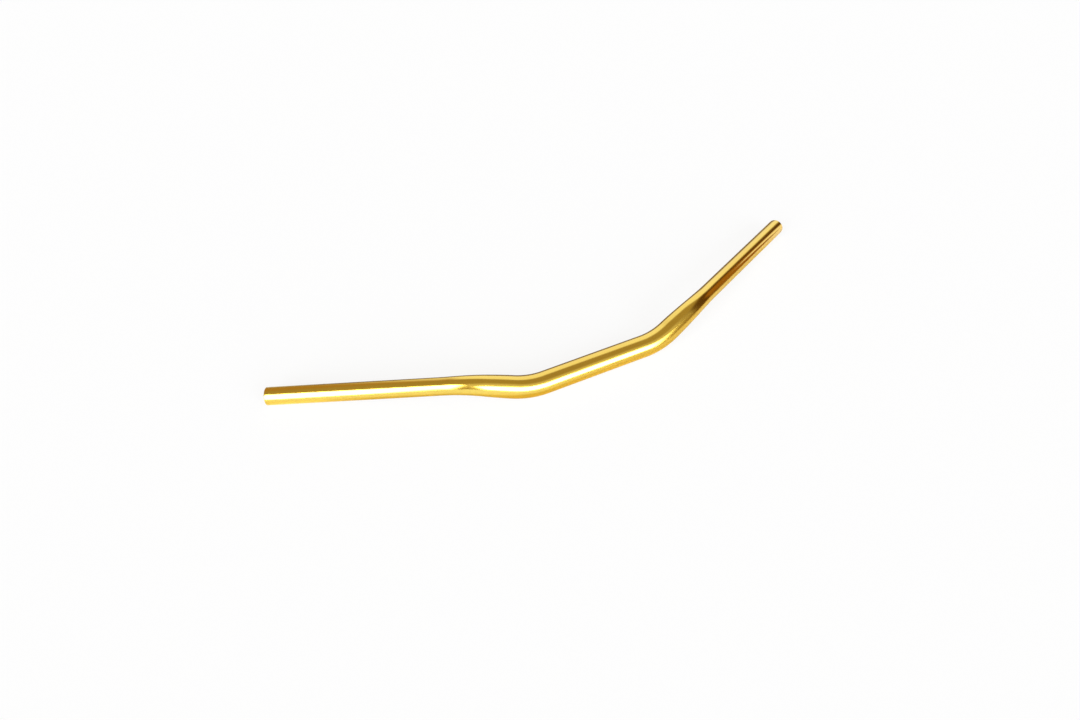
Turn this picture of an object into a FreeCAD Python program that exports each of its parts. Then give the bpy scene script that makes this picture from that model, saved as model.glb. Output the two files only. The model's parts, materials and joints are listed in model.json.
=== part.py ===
import FreeCAD
import Part

import math
import os

from FreeCAD import Placement, Rotation, Vector

# A bare tapered handlebar: one bent tube, thick where it is clamped and thin at its grips.
# The origin is the middle of the clamp zone, on the tube's axis. X runs along the clamp zone,
# Y is the way the grips sweep back and Z is up, with the bar lying as it comes to rest.
# Lengths are in millimetres.

# Tube
clamp_diameter = 28.6
grip_diameter = 22.2
wall = 4.1

# Bend points, where the straight runs of the centreline would meet
inner_bend_spacing = 182.0
elbow_spacing = 325.0
elbow_sweep = 21.4
elbow_rise = 18.8
grip_end_spacing = 764.0
grip_end_sweep = 132.3

# Bends, and the tapers that run from the inner bends through the elbows
inner_bend_radius = 110.0
elbow_radius = 110.0
taper_runout = 13.5
taper_ring_spacing = 2.5

# Rims of the open ends
rim_round = 1.0
mouth_chamfer = 0.5

clamp_radius = clamp_diameter / 2
grip_radius = grip_diameter / 2
# The clamp zone and the rims of both ends lie on one level surface.
grip_end_height = grip_radius - clamp_radius

middle = Vector(0, 0, 0)
inner_point = Vector(inner_bend_spacing / 2, 0, 0)
elbow_point = Vector(elbow_spacing / 2, elbow_sweep, elbow_rise)
grip_end = Vector(grip_end_spacing / 2, grip_end_sweep, grip_end_height)


class Bend:
    # An arc of the centreline that turns from one straight run to the next.

    def __init__(self, before, corner, after, radius):
        incoming = (corner - before).normalize()
        outgoing = (after - corner).normalize()
        self.angle = incoming.getAngle(outgoing)
        self.length = self.angle * radius
        self.setback = radius * math.tan(self.angle / 2)
        self.axis = incoming.cross(outgoing).normalize()
        start = corner - incoming * self.setback
        self.centre = start + self.axis.cross(incoming) * radius


inner_bend = Bend(middle, inner_point, elbow_point, inner_bend_radius)
elbow = Bend(inner_point, elbow_point, grip_end, elbow_radius)

half_clamp_length = inner_point.x - inner_bend.setback
link_length = inner_point.distanceToPoint(elbow_point) - inner_bend.setback - elbow.setback
taper_length = link_length + elbow.length + taper_runout
grip_length = elbow_point.distanceToPoint(grip_end) - elbow.setback - taper_runout


# A frame stands on the centreline with its Z along the tube.
def along(frame, distance):
    return frame * Placement(Vector(0, 0, distance), Rotation())


def around(frame, bend, share=1.0):
    turn = Rotation(bend.axis, math.degrees(bend.angle * share))
    return Placement(Vector(0, 0, 0), turn, bend.centre) * frame


middle_frame = Placement(middle, Rotation(Vector(0, 0, 1), Vector(1, 0, 0)))
clamp_end_frame = along(middle_frame, half_clamp_length)
link_frame = around(clamp_end_frame, inner_bend)
elbow_frame = along(link_frame, link_length)
elbow_end_frame = around(elbow_frame, elbow)
grip_frame = along(elbow_end_frame, taper_runout)
grip_end_frame = along(grip_frame, grip_length)


def taper_frame(distance):
    if distance < link_length:
        return along(link_frame, distance)
    if distance < link_length + elbow.length:
        return around(elbow_frame, elbow, (distance - link_length) / elbow.length)
    return along(elbow_end_frame, distance - link_length - elbow.length)


def ring(frame, radius):
    circle = Part.makeCircle(radius)
    circle.Placement = frame
    return Part.Wire(circle)


def straight_rod(frame, radius, length):
    return Part.Face(ring(frame, radius)).extrude(frame.Rotation.multVec(Vector(0, 0, length)))


def bent_rod(frame, radius, bend):
    return Part.Face(ring(frame, radius)).revolve(bend.centre, bend.axis, math.degrees(bend.angle))


def tapered_rod(thick_radius, thin_radius):
    steps = math.ceil(taper_length / taper_ring_spacing)
    rings = []
    for step in range(steps + 1):
        share = step / steps
        ease = share * share * (3 - 2 * share)
        radius = thick_radius + (thin_radius - thick_radius) * ease
        rings.append(ring(taper_frame(share * taper_length), radius))
    return Part.makeLoft(rings, True)


def bar_of_rods(thick_radius, thin_radius, end_rod):
    clamp_rod = straight_rod(along(middle_frame, -half_clamp_length), thick_radius, 2 * half_clamp_length)
    arm = [
        bent_rod(clamp_end_frame, thick_radius, inner_bend),
        tapered_rod(thick_radius, thin_radius),
        end_rod,
    ]
    other_arm = [rod.mirror(middle, Vector(1, 0, 0)) for rod in arm]
    return clamp_rod.fuse(arm + other_arm).removeSplitter()


def rounded_grip():
    rod = straight_rod(grip_frame, grip_radius, grip_length)
    rim = max(rod.Edges, key=lambda edge: edge.CenterOfMass.distanceToPoint(middle))
    return rod.makeFillet(rim_round, [rim])


def chamfered_bore(radius):
    mouth_frame = along(grip_end_frame, -mouth_chamfer)
    mouth = Part.makeCone(radius, radius + mouth_chamfer, mouth_chamfer)
    mouth.Placement = mouth_frame
    return straight_rod(grip_frame, radius, grip_length).fuse(mouth)


def handlebar():
    outside = bar_of_rods(clamp_radius, grip_radius, rounded_grip())
    clamp_bore = clamp_radius - wall
    grip_bore = grip_radius - wall
    inside = bar_of_rods(clamp_bore, grip_bore, chamfered_bore(grip_bore))
    return outside.cut(inside)


os.makedirs("parts", exist_ok=True)
bar = handlebar()
bar.exportStep("parts/handlebar.step")
print("handlebar", "valid" if bar.isValid() else "not valid", len(bar.Solids), "solid")
print("clamp zone", round(2 * half_clamp_length, 3), "long, grips", round(grip_length, 3))
print("tapers", round(taper_length, 3), "long")
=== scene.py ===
import json
import math

import bpy
from mathutils import Matrix, Vector


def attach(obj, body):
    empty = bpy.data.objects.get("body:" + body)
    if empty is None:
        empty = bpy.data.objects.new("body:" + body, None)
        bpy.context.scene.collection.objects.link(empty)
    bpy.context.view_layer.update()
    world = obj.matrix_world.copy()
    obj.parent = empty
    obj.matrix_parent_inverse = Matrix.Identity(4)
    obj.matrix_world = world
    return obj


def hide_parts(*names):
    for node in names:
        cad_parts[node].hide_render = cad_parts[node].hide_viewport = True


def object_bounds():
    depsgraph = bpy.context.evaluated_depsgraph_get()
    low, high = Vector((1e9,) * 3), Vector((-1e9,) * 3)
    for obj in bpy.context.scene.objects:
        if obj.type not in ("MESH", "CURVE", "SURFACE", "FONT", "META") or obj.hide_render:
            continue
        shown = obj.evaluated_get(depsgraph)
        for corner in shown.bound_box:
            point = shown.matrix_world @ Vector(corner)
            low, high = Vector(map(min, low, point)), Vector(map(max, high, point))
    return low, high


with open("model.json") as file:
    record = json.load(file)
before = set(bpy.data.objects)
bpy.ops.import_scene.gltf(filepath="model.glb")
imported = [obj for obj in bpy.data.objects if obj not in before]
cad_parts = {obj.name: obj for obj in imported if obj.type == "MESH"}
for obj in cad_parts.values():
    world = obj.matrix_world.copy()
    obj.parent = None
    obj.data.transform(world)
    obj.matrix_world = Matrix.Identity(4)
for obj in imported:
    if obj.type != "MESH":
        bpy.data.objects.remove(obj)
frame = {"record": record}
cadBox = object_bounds()
mounts = {mount["name"]: mount for mount in frame["record"]["mounts"]}
clampRadius = mounts["clamp_zone"]["dims"]["r_mm"] / 1000
gripRadius = mounts["right_grip"]["dims"]["r_mm"] / 1000
boreRadius = mounts["right_end_bore"]["dims"]["r_mm"] / 1000
up = Vector((0, 0, 1))
plainWhite = (1, 1, 1, 1)
print("frame loaded")


class Wire:
    # one socket of a node tree; sums on wires add Math nodes

    def __init__(self, tree, output=None):
        self.tree = tree
        self.output = output

    def node(self, kind, settings, sockets, out=0):
        made = self.tree.nodes.new("ShaderNode" + kind)
        for name, value in settings.items():
            if name == "stops":  # a ramp's places and colours
                while len(made.color_ramp.elements) < len(value):
                    made.color_ramp.elements.new(1)
                for element, (place, colour) in zip(made.color_ramp.elements, value):
                    element.position = place
                    element.color = colour
            else:
                setattr(made, name, value)
        for name, value in sockets.items():
            if isinstance(value, Wire):
                self.tree.links.new(value.output, made.inputs[name])
            else:
                made.inputs[name].default_value = value
        return Wire(self.tree, made.outputs[out] if made.outputs else None)

    def maths(self, operation, *values):
        return self.node("Math", {"operation": operation}, dict(enumerate(values)))

    def part(self, axis):
        return self.node("SeparateXYZ", {}, {"Vector": self}, axis)

    def rise(self, start, end):
        # eases from 0 at the start to 1 at the end, and the end may be the lower of the two
        limits = {"Value": self, "From Min": start, "From Max": end}
        return self.node("MapRange", {"interpolation_type": "SMOOTHSTEP"}, limits)

    def blend(self, below, above):
        # one colour where this wire is 0 and the other where it is 1
        return self.node("Mix", {"data_type": "RGBA"}, {0: self, 6: below, 7: above}, 2)

    def __add__(self, other):
        return self.maths("ADD", self, other)

    def __sub__(self, other):
        return self.maths("SUBTRACT", self, other)

    def __rsub__(self, other):
        return self.maths("SUBTRACT", other, self)

    def __mul__(self, other):
        return self.maths("MULTIPLY", self, other)

    def __truediv__(self, other):
        return self.maths("DIVIDE", self, other)

    def __rtruediv__(self, other):
        return self.maths("DIVIDE", other, self)

    def __abs__(self):
        return self.maths("ABSOLUTE", self)

    def __gt__(self, other):
        return self.maths("GREATER_THAN", self, other)

    __radd__ = __add__
    __rmul__ = __mul__


def newMaterial(name):
    material = bpy.data.materials.new(name)
    material.use_nodes = True
    material.node_tree.nodes.clear()
    return material, Wire(material.node_tree)


# gold

goldFinish = {
    "gold": (0.97, 0.70, 0.12, 1),
    "deepGold": (0.92, 0.64, 0.10, 1),
    "dyeRange": (0.35, 0.65),  # the noise at which the dye is all deep gold, and all gold
    "cloudSize": 0.06,  # slow changes in the dye
    "cloudDetail": 3.0,
    "lineShare": 0.3,  # how much of the dye's change follows the lines
    "lineSpacing": 0.0008,  # polishing lines round the tube
    "lineWander": 2.0,  # how much a line changes on its way round
    "lineDetail": 4.0,
    "lineGrain": 0.6,
    "lineDepth": 0.000003,
    "roughness": 0.165,
    "roughnessSpread": 0.05,
    "filmWeight": 0.60,  # the clear skin over the dye
    "filmRoughness": 0.09,
    "filmIor": 1.6,
}


def tubeLines(wire, look, roundScale, alongScale):
    # noise drawn out round the tube or along it, with no break at the map's seam
    wrap = wire.node("TexCoord", {}, {}, "UV")
    angle = wrap.part("X") / clampRadius
    spot = wire.node(
        "CombineXYZ",
        {},
        {
            "X": wire.maths("COSINE", angle) * roundScale,
            "Y": wire.maths("SINE", angle) * roundScale,
            "Z": wrap.part("Y") * alongScale,
        },
    )
    grain = {"Scale": 1.0, "Detail": look["lineDetail"], "Roughness": look["lineGrain"]}
    return wire.node("TexNoise", {}, {"Vector": spot, **grain})


def dyedColour(wire, look, noise):
    low, high = look["dyeRange"]
    share = wire.node("MapRange", {}, {"Value": noise, "From Min": low, "From Max": high})
    return share.blend(look["deepGold"], look["gold"])


def lineBump(wire, look, lines):
    return wire.node("Bump", {}, {"Strength": 1.0, "Distance": look["lineDepth"], "Height": lines})


def polishedGold():
    look = goldFinish
    material, wire = newMaterial("polishedGold")
    place = wire.node("TexCoord", {}, {}, "Object")
    cloudGrain = {"Scale": 1 / look["cloudSize"], "Detail": look["cloudDetail"]}
    clouds = wire.node("TexNoise", {}, {"Vector": place, **cloudGrain})
    lines = tubeLines(wire, look, look["lineWander"], 1 / look["lineSpacing"])
    dye = clouds * (1 - look["lineShare"]) + lines * look["lineShare"]
    surface = wire.node(
        "BsdfPrincipled",
        {},
        {
            "Base Color": dyedColour(wire, look, dye),
            "Metallic": 1.0,
            # each noise is a half on average
            "Roughness": look["roughness"] + (clouds + lines - 1) * look["roughnessSpread"],
            "Normal": lineBump(wire, look, lines),
            "Coat Weight": look["filmWeight"],
            "Coat Roughness": look["filmRoughness"],
            "Coat IOR": look["filmIor"],
        },
    )
    wire.node("OutputMaterial", {}, {"Surface": surface})
    return material


boreFinish = {
    "gold": (0.80, 0.52, 0.11, 1),
    "deepGold": (0.60, 0.36, 0.07, 1),
    "dyeRange": (0.3, 0.7),
    "lineSpacing": 0.0006,  # drawing lines along the bore
    "lineLength": 0.025,
    "lineDetail": 3.0,
    "lineGrain": 0.6,
    "lineDepth": 0.00001,
    "roughness": 0.42,
    "roughnessSpread": 0.15,
}


def drawnGold():
    look = boreFinish
    material, wire = newMaterial("drawnGold")
    lines = tubeLines(wire, look, clampRadius / look["lineSpacing"], 1 / look["lineLength"])
    surface = wire.node(
        "BsdfPrincipled",
        {},
        {
            "Base Color": dyedColour(wire, look, lines),
            "Metallic": 1.0,
            "Roughness": look["roughness"] + (lines - 0.5) * look["roughnessSpread"],
            "Normal": lineBump(wire, look, lines),
        },
    )
    wire.node("OutputMaterial", {}, {"Surface": surface})
    return material


# bar

barShape = {
    "ringPoints": 96,
    "innerBendAt": 0.091,  # where the clamp zone's line meets the link's, out from the middle
    "elbowAt": 0.1625,  # where the link's line meets the grip's
    "bendRadius": 0.110,
    "runout": 0.0135,  # the last of the taper, past the elbow
    "clampSteps": 8,
    "bendSteps": 16,
    "linkSteps": 14,
    "elbowSteps": 18,
    "runoutSteps": 5,
    "gripSteps": 24,
    "rimRound": 0.001,
    "rimSegments": 5,
    "mouthChamfer": 0.0005,
    "rimMatch": 0.0001,  # how near a corner lies to the rim that it is taken for
    "weldGap": 0.00001,
    "mapStart": 0.004,  # the map starts on top of the tube, this far out from the middle
    "sharpAngle": 40,
}


class TubeEnd:
    # the open ring at the end of the tube while it is being drawn out

    def __init__(self, radiusAt):
        self.here = Vector((0, 0, 0))
        self.way = Vector((1, 0, 0))
        self.gone = 0.0  # along the centreline
        self.radiusAt = radiusAt
        self.radius = radiusAt(0.0)

    def moveOn(self, distance):
        self.gone += distance
        radius = self.radiusAt(self.gone)
        if radius != self.radius:
            share = radius / self.radius
            bpy.ops.transform.resize(value=(share, share, share), center_override=self.here)
            self.radius = radius

    def push(self, length, steps):
        for step in range(steps):
            move = self.way * length / steps
            bpy.ops.mesh.extrude_region_move(TRANSFORM_OT_translate={"value": move})
            self.here += move
            self.moveOn(length / steps)

    def turn(self, bend, steps):
        angle = bend["angle"] / steps
        rotation = Matrix.Rotation(angle, 3, bend["axis"])
        for step in range(steps):
            # spin goes round the other way
            bpy.ops.mesh.spin(steps=1, angle=-angle, center=bend["centre"], axis=bend["axis"])
            self.here = bend["centre"] + rotation @ (self.here - bend["centre"])
            self.way = rotation @ self.way
            self.moveOn(bend["length"] / steps)


def bendOf(before, corner, after):
    # the arc that rounds a corner of the centreline
    radius = barShape["bendRadius"]
    incoming = (corner - before).normalized()
    outgoing = (after - corner).normalized()
    axis = incoming.cross(outgoing).normalized()
    angle = incoming.angle(outgoing)
    setback = radius * math.tan(angle / 2)
    centre = corner - incoming * setback + axis.cross(incoming) * radius
    return {
        "axis": axis,
        "angle": angle,
        "length": angle * radius,
        "setback": setback,
        "centre": centre,
    }


def drawHalf():
    shape = barShape
    grip = mounts["right_grip"]
    gripMiddle = Vector(grip["pos_m"])
    gripWay = Vector(grip["axis"]).normalized()
    gripEnd = gripMiddle + gripWay * (grip["dims"]["length_mm"] / 1000 + shape["rimRound"]) / 2

    middle = Vector((0, 0, 0))
    innerPoint = Vector((shape["innerBendAt"], 0, 0))
    elbowPoint = gripMiddle + gripWay * (shape["elbowAt"] - gripMiddle.x) / gripWay.x
    innerBend = bendOf(middle, innerPoint, elbowPoint)
    elbow = bendOf(innerPoint, elbowPoint, gripEnd)
    clampLength = innerPoint.x - innerBend["setback"]
    linkLength = (elbowPoint - innerPoint).length - innerBend["setback"] - elbow["setback"]
    taperStart = clampLength + innerBend["length"]
    taperLength = linkLength + elbow["length"] + shape["runout"]
    gripLength = (gripEnd - elbowPoint).length - elbow["setback"] - shape["runout"]

    def radiusAt(distance):
        share = min(max((distance - taperStart) / taperLength, 0), 1)
        return clampRadius + (gripRadius - clampRadius) * share * share * (3 - 2 * share)

    bpy.ops.object.select_all(action="DESELECT")
    bpy.ops.mesh.primitive_circle_add(
        vertices=shape["ringPoints"],
        radius=clampRadius,
        fill_type="NOTHING",
        calc_uvs=False,
        rotation=(0, math.pi / 2, 0),
    )
    bar = bpy.context.object
    bar.name = "handlebar_tube"
    bpy.ops.object.transform_apply(rotation=True)
    bpy.ops.object.mode_set(mode="EDIT")
    bpy.ops.mesh.select_all(action="SELECT")
    tube = TubeEnd(radiusAt)
    tube.push(clampLength, shape["clampSteps"])
    tube.turn(innerBend, shape["bendSteps"])
    tube.push(linkLength, shape["linkSteps"])
    tube.turn(elbow, shape["elbowSteps"])
    tube.push(shape["runout"], shape["runoutSteps"])
    tube.push(gripLength, shape["gripSteps"])
    bpy.ops.object.mode_set(mode="OBJECT")
    print("half of the tube drawn")
    return bar, gripEnd, gripWay


def unwrapAlong(bar):
    # the map's first number runs round the tube and its second along it, both in metres
    mesh = bar.data
    layer = mesh.uv_layers.new(name="alongTube")
    start = Vector((barShape["mapStart"], 0, clampRadius))
    first = min(mesh.polygons, key=lambda face: (face.center - start).length)
    for loop in first.loop_indices:
        spot = mesh.vertices[mesh.loops[loop].vertex_index].co
        layer.data[loop].uv = (math.atan2(spot.y, spot.z) * clampRadius, spot.x)
    mesh.polygons.active = first.index
    bpy.ops.object.mode_set(mode="EDIT")
    bpy.ops.mesh.select_all(action="SELECT")
    bpy.ops.uv.select_all(action="SELECT")
    bpy.ops.uv.follow_active_quads(mode="LENGTH_AVERAGE")
    bpy.ops.object.mode_set(mode="OBJECT")


def bevelRims(bar, end, way, radius, width, segments):
    # both ends' rim edges at this radius
    mesh = bar.data
    near = barShape["rimMatch"]
    rim = set()
    for corner in mesh.vertices:
        spot = Vector((abs(corner.co.x), corner.co.y, corner.co.z)) - end
        if abs(spot.dot(way)) < near and abs(spot.length - radius) < near:
            rim.add(corner.index)
    bpy.ops.object.mode_set(mode="EDIT")
    bpy.ops.mesh.select_mode(type="EDGE")
    bpy.ops.mesh.select_all(action="DESELECT")
    bpy.ops.object.mode_set(mode="OBJECT")
    for edge in mesh.edges:
        edge.select = edge.vertices[0] in rim and edge.vertices[1] in rim
    bpy.ops.object.mode_set(mode="EDIT")
    bpy.ops.mesh.bevel(offset=width, segments=segments, affect="EDGES")
    bpy.ops.object.mode_set(mode="OBJECT")


def makeBar():
    shape = barShape
    bar, gripEnd, gripWay = drawHalf()
    bar.data.materials.append(polishedGold())
    bar.data.materials.append(drawnGold())
    otherArm = bar.modifiers.new("otherArm", "MIRROR")
    otherArm.merge_threshold = shape["weldGap"]
    bpy.ops.object.modifier_apply(modifier=otherArm.name)
    bpy.ops.object.mode_set(mode="EDIT")
    bpy.ops.mesh.select_all(action="SELECT")
    bpy.ops.mesh.remove_doubles(threshold=shape["weldGap"])
    bpy.ops.mesh.normals_make_consistent(inside=False)
    bpy.ops.object.mode_set(mode="OBJECT")
    unwrapAlong(bar)
    wall = bar.modifiers.new("wall", "SOLIDIFY")
    wall.thickness = gripRadius - boreRadius
    wall.offset = -1
    wall.use_even_offset = True
    wall.material_offset = 1
    bpy.ops.object.modifier_apply(modifier=wall.name)
    bevelRims(bar, gripEnd, gripWay, gripRadius, shape["rimRound"], shape["rimSegments"])
    bevelRims(bar, gripEnd, gripWay, boreRadius, shape["mouthChamfer"], 1)
    bpy.ops.object.shade_smooth_by_angle(angle=math.radians(shape["sharpAngle"]))
    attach(bar, "root")
    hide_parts("handlebar")
    print("bar made,", len(bar.data.polygons), "faces")


makeBar()


# table, with painted shade, shadow and light that only the metal sees

tableTop = {
    "size": 30.0,
    "white": (0.70, 0.74, 0.83, 1),
    "shownWhite": 0.86,  # the share of plain white that the camera sees near the bar
    "allWhite": (1.2, 3.5),  # farther out than this it sees only white
    "mirroredWhite": 0.04,  # the share of plain white that the metal sees
    "barSweep": (0.10, 0.47),  # the bar's line runs back from here, at this slope
    "shadeDepth": (-0.160, 0.050),  # from in front of the bar's line to behind it
    "leftPaintedShade": [  # painted shade and light on the table that only the metal sees, at these depths: pale in front, painted shade with a warm painted bounce by the bar's line, and the bar's painted shadow behind it
        (-0.090, (0.74, 0.82, 0.90, 1)),
        (-0.046, (0.69, 0.73, 0.70, 1)),
        (-0.026, (0.50, 0.42, 0.15, 1)),
        (-0.008, (0.47, 0.38, 0.08, 1)),
        (0.020, (0.42, 0.34, 0.18, 1)),
        (0.050, (0.15, 0.11, 0.07, 1)),
    ],
    # the same painted shade and light at the left end
    "leftEndPaintedShade": [
        (-0.090, (0.74, 0.82, 0.90, 1)),
        (-0.046, (0.74, 0.80, 0.80, 1)),
        (-0.026, (0.70, 0.72, 0.60, 1)),
        (-0.008, (0.70, 0.70, 0.50, 1)),
        (0.020, (0.60, 0.58, 0.42, 1)),
        (0.050, (0.40, 0.36, 0.26, 1)),
    ],
    # the same painted shade and light on the right
    "rightPaintedShade": [
        (-0.160, (0.48, 0.42, 0.26, 1)),
        (-0.090, (0.62, 0.58, 0.46, 1)),
        (-0.046, (0.60, 0.55, 0.39, 1)),
        (-0.026, (0.52, 0.45, 0.21, 1)),
        (-0.008, (0.55, 0.48, 0.21, 1)),
        (0.020, (0.35, 0.27, 0.12, 1)),
        (0.050, (0.15, 0.11, 0.07, 1)),
    ],
    "leftEnd": (-0.26, -0.36),
    "leftToRight": (-0.12, 0.12),
    "behindGrip": (-0.02, 0.04),
    "paintedShadePart": (0.36, 0.46),  # painted shade on the table, to the right, in front of the grip's line
    "paintedShadeColour": (0.19, 0.09, 0.012, 1),
    "paintedLightPart": (0.35, 0.42),  # painted light on the table beside the right grip's end
    "paintedLightPartDepth": (-0.15, -0.08),
    "paintedLightColour": (0.72, 0.70, 0.74, 1),
}


def mirroredRays(wire):
    # 1 for a ray that comes off metal or through glass
    glossy = wire.node("LightPath", {}, {}, "Is Glossy Ray")
    passing = wire.node("LightPath", {}, {}, "Is Transmission Ray")
    return glossy + passing


def paintedTableShade(wire, place):
    # the painted shade, shadow and light that the metal sees on the table in place of its white
    right = place.part("X")
    sweepStart, sweepSlope = tableTop["barSweep"]
    behind = place.part("Y") - wire.maths("MAXIMUM", abs(right) - sweepStart, 0.0) * sweepSlope
    front, rear = tableTop["shadeDepth"]

    def shadesAt(shades):
        stops = [((depth - front) / (rear - front), shade) for depth, shade in shades]
        return wire.node("ValToRGB", {"stops": stops}, {"Fac": (behind - front) / (rear - front)})

    left = shadesAt(tableTop["leftPaintedShade"])
    left = right.rise(*tableTop["leftEnd"]).blend(left, shadesAt(tableTop["leftEndPaintedShade"]))
    colour = right.rise(*tableTop["leftToRight"]).blend(left, shadesAt(tableTop["rightPaintedShade"]))
    inFront = 1 - behind.rise(*tableTop["behindGrip"])
    # painted shade that the metal sees on the table to the right
    dark = right.rise(*tableTop["paintedShadePart"]) * inFront
    colour = dark.blend(colour, tableTop["paintedShadeColour"])
    # painted light that the metal sees on the table beside the right grip's end
    pale = right.rise(*tableTop["paintedLightPart"]) * behind.rise(*tableTop["paintedLightPartDepth"]) * inFront
    return pale.blend(colour, tableTop["paintedLightColour"])


def makeTable():
    bpy.ops.object.select_all(action="DESELECT")
    bpy.ops.mesh.primitive_plane_add(size=tableTop["size"], location=(0, 0, cadBox[0].z))
    table = bpy.context.object
    table.name = "table_top"
    material, wire = newMaterial("whiteTableWithPaintedShade")
    material.cycles.emission_sampling = "NONE"
    place = wire.node("TexCoord", {}, {}, "Object")
    mirrored = mirroredRays(wire)
    # mirrored rays see the painted shade and light instead of the white
    colour = mirrored.blend(tableTop["white"], paintedTableShade(wire, place))
    matt = wire.node("BsdfDiffuse", {}, {"Color": colour})
    white = wire.node("Emission", {}, {"Color": plainWhite, "Strength": 1.0})
    out = wire.node("VectorMath", {"operation": "LENGTH"}, {0: place}, "Value")
    faded = wire.maths("MAXIMUM", out.rise(*tableTop["allWhite"]), tableTop["shownWhite"])
    shown = wire.node("LightPath", {}, {}, "Is Camera Ray") * faded
    share = shown + mirrored * tableTop["mirroredWhite"]
    surface = wire.node("MixShader", {}, {0: share, 1: matt, 2: white})
    wire.node("OutputMaterial", {}, {"Surface": surface})
    table.data.materials.append(material)
    print("table made")


makeTable()


# studio; azimuth 0 is straight behind the bar (+Y), 90 is to its right (+X)

studio = {
    "room": (0.38, 0.29, 0.14, 1),
    "cards": [  # each over the ones before it, with its angles in degrees
        {  # the warm corner
            "azimuth": -12,
            "elevation": 28,
            "wide": 36,
            "high": 50,
            "soft": 12,
            "colour": (0.42, 0.25, 0.075, 1),
        },
        {  # spill round the right softbox
            "azimuth": 169,
            "elevation": 29,
            "wide": 44,
            "high": 62,
            "soft": 9,
            "colour": (0.68, 0.62, 0.48, 1),
        },
        {  # the right softbox
            "azimuth": 170,
            "elevation": 17,
            "wide": 40,
            "high": 36,
            "soft": 4,
            "colour": (8.5, 8.5, 8.5, 1),
        },
        {  # the left softbox
            "azimuth": -123.5,
            "elevation": 26,
            "wide": 35,
            "high": 54,
            "soft": 5,
            "colour": (8.5, 8.5, 8.5, 1),
        },
    ],
}


def wayTo(azimuth, elevation):
    turn = math.radians(azimuth)
    lift = math.radians(elevation)
    return Vector((math.sin(turn) * math.cos(lift), math.cos(turn) * math.cos(lift), math.sin(lift)))


def cardMask(wire, ray, card):
    # 1 where a ray meets the flat card, 0 beside it
    facing = wayTo(card["azimuth"], card["elevation"])
    side = facing.cross(up).normalized()
    upright = side.cross(facing)

    def reach(way):
        return wire.node("VectorMath", {"operation": "DOT_PRODUCT"}, {0: ray, 1: way}, "Value")

    def inside(offset, angle):
        low = math.tan(math.radians(angle / 2 - card["soft"]))
        high = math.tan(math.radians(angle / 2 + card["soft"]))
        return offset.rise(high, low)

    ahead = reach(facing)
    across = abs(reach(side) / ahead)
    along = abs(reach(upright) / ahead)
    return inside(across, card["wide"]) * inside(along, card["high"]) * (ahead > 0)


def makeStudio():
    world = bpy.data.worlds.new("studio")
    bpy.context.scene.world = world
    world.use_nodes = True
    world.node_tree.nodes.clear()
    wire = Wire(world.node_tree)
    ray = wire.node("TexCoord", {}, {}, "Generated")
    light = studio["room"]
    for card in studio["cards"]:
        light = cardMask(wire, ray, card).blend(light, card["colour"])
    lit = wire.node("Background", {}, {"Color": light, "Strength": 1.0})
    white = wire.node("Background", {}, {"Color": plainWhite, "Strength": 1.0})
    shown = wire.node("LightPath", {}, {}, "Is Camera Ray")
    surface = wire.node("MixShader", {}, {0: shown, 1: lit, 2: white})
    wire.node("OutputWorld", {}, {"Surface": surface})
    print("studio lit")


makeStudio()


# screens that only mirrored rays see; each edge is given halfway through its fade

backdrop = {
    "name": "white_screen",
    "azimuth": 22.8,
    "away": 1.525,
    "lean": 0,
    "edges": {"left": -0.55, "right": 1.31, "low": 0.12, "high": 2.35},
    "fades": {"left": 0.6, "right": 0.45, "low": 0.36, "high": 1.0},
    "colour": plainWhite,
}

darkSide = {
    "name": "dark_side",
    "azimuth": 98,
    "away": 0.9,
    "lean": 0,
    "edges": {"left": -0.48, "right": 0.45, "low": -0.03, "high": 1.1},
    "fades": {"left": 0.26, "right": 0.5, "low": 0.06, "high": 0.8},
    "colour": (0.10, 0.045, 0.008, 1),
}

brownSide = {
    "name": "brown_side",
    "azimuth": 90,
    "away": 0.60,
    "lean": 0,
    "edges": {"left": -0.11, "right": 0.06, "low": -0.006, "high": 0.26},
    "fades": {"left": 0.05, "right": 0.06, "low": 0.02, "high": 0.06},
    "colour": (0.33, 0.135, 0.014, 1),
}

sideCard = {
    "name": "side_card",  # a slim one beside the right grip's end
    "azimuth": 90,
    "away": 0.45,
    "lean": 45,
    "edges": {"left": -0.12, "right": 0.014, "low": 0.075, "high": 0.103},
    "fades": {"left": 0.03, "right": 0.03, "low": 0.014, "high": 0.018},
    "colour": (1, 0.94, 1, 1),
}


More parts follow.
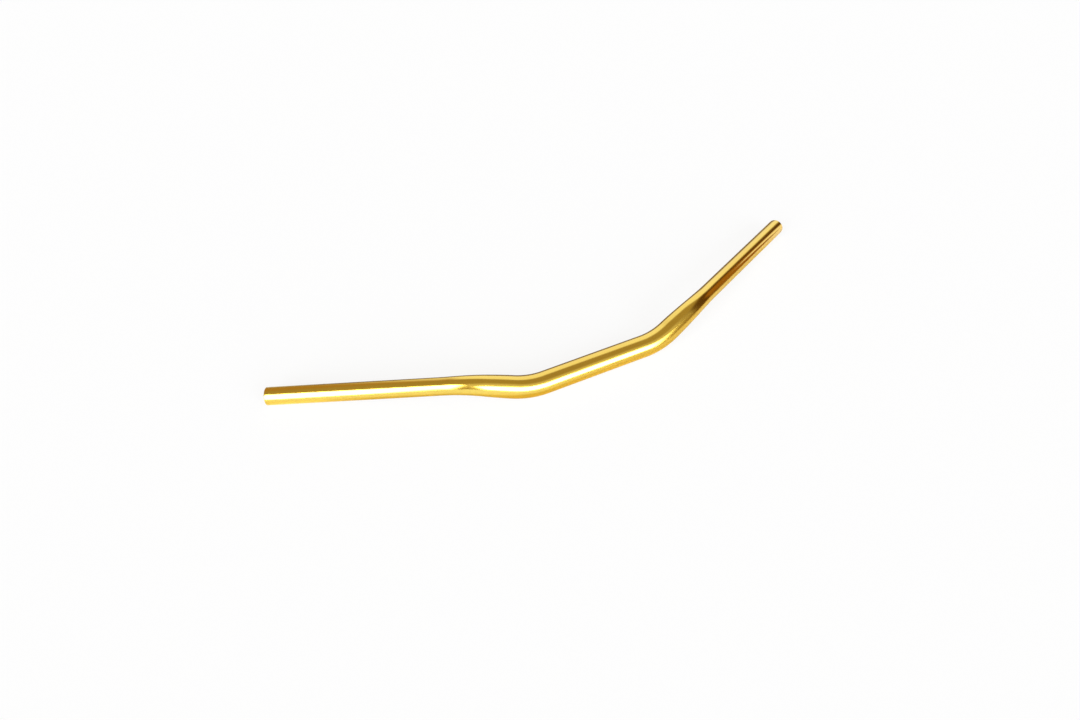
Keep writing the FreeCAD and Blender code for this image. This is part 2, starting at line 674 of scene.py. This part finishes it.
def hangScreen(sheet):
    edges = sheet["edges"]
    fades = sheet["fades"]
    left = edges["left"] - fades["left"] / 2
    right = edges["right"] + fades["right"] / 2
    low = edges["low"] - fades["low"] / 2
    high = edges["high"] + fades["high"] / 2
    bpy.ops.object.select_all(action="DESELECT")
    bpy.ops.mesh.primitive_plane_add(
        size=1,
        location=wayTo(sheet["azimuth"], 0) * sheet["away"],
        rotation=(math.pi / 2, -math.radians(sheet["lean"]), -math.radians(sheet["azimuth"])),
    )
    screen = bpy.context.object
    screen.name = sheet["name"]
    for corner in screen.data.vertices:
        corner.co = (right if corner.co.x > 0 else left, high if corner.co.y > 0 else low, 0)
    material, wire = newMaterial(sheet["name"])
    material.cycles.emission_sampling = "NONE"
    place = wire.node("TexCoord", {}, {}, "Object")
    sideways = place.part("X")
    upwards = place.part("Y")
    across = sideways.rise(left, left + fades["left"]) * sideways.rise(right, right - fades["right"])
    upright = upwards.rise(low, low + fades["low"]) * upwards.rise(high, high - fades["high"])
    clear = wire.node("BsdfTransparent", {}, {})
    lit = wire.node("Emission", {}, {"Color": sheet["colour"], "Strength": 1.0})
    share = mirroredRays(wire) * across * upright
    surface = wire.node("MixShader", {}, {0: share, 1: clear, 2: lit})
    wire.node("OutputMaterial", {}, {"Surface": surface})
    screen.data.materials.append(material)
    print(sheet["name"], "hung")


for sheet in (backdrop, darkSide, brownSide, sideCard):
    hangScreen(sheet)


# camera

viewpoint = {
    "azimuth": -153.535,
    "elevation": 45.55,
    "away": 1.07621,
    "right": 0.06903,  # the bar's middle stands this far right of the picture's middle
    "down": 0.00488,  # and this far below it
    "lens": 28.577,
    "sensorWidth": 36,
    "clipStart": 0.01,
}


def makeCamera():
    view = viewpoint
    back = wayTo(view["azimuth"], view["elevation"])
    right = up.cross(back).normalized()
    down = right.cross(back)
    place = back * view["away"] - right * view["right"] - down * view["down"]
    bpy.ops.object.camera_add(location=place)
    camera = bpy.context.object
    camera.rotation_mode = "QUATERNION"
    camera.rotation_quaternion = (-back).to_track_quat("-Z", "Y")
    camera.data.sensor_width = view["sensorWidth"]
    camera.data.lens = view["lens"]
    camera.data.clip_start = view["clipStart"]
    bpy.context.scene.camera = camera
    bpy.context.scene.view_settings.view_transform = "Standard"
    print("camera set")


makeCamera()
